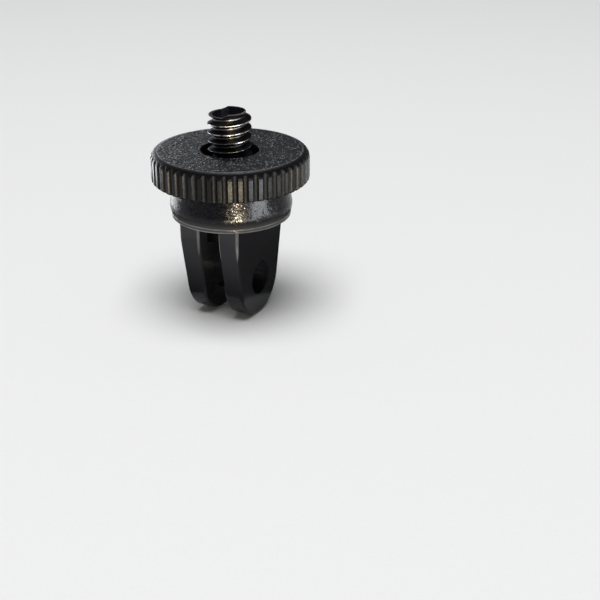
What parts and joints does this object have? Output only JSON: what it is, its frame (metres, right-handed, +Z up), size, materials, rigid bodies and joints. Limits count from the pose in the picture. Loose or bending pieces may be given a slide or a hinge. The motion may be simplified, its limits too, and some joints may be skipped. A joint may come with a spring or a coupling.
{
  "type": "action camera tripod adapter",
  "caption": "Adapter from a two-prong action camera joint to a quarter inch camera screw, with a fluted lock wheel that runs up the screw to jam the camera.",
  "frame": {"origin": "middle of the pivot bore, half way between the two prongs", "axes": "+Z up along the stud, X along the pivot bore, Y across the prongs' width"},
  "size_m": [0.0226, 0.0226, 0.0304],
  "materials": {
    "base_plastic": "glossy black moulded plastic with a fine spark grain",
    "stud_steel": "blackened steel, bright where the thread crests are worn",
    "wheel_plastic": "black plastic, grained on the flat top, smooth on the rim and flutes",
    "insert_brass": "turned brass"
  },
  "bodies": {
    "base": {"mount_base": "base_plastic", "camera_stud": "stud_steel"},
    "travel": {"wheel_insert": "insert_brass"},
    "wheel": {"lock_wheel": "wheel_plastic"}
  },
  "joints": [
    {"name": "wheel_climb", "type": "slide", "parent": "base", "child": "travel", "axis": [0, 0, 1], "range_m": [0, 0.0056]},
    {"name": "wheel_turn", "type": "hinge", "parent": "travel", "child": "wheel", "pos_m": [0, 0, 0.017], "axis": [0, 0, 1], "range_deg": [0, 1584]}
  ],
  "couplings": [
    {"joint": "wheel_climb", "follows": "wheel_turn", "m_per_rad": 0.00020213}
  ]
}
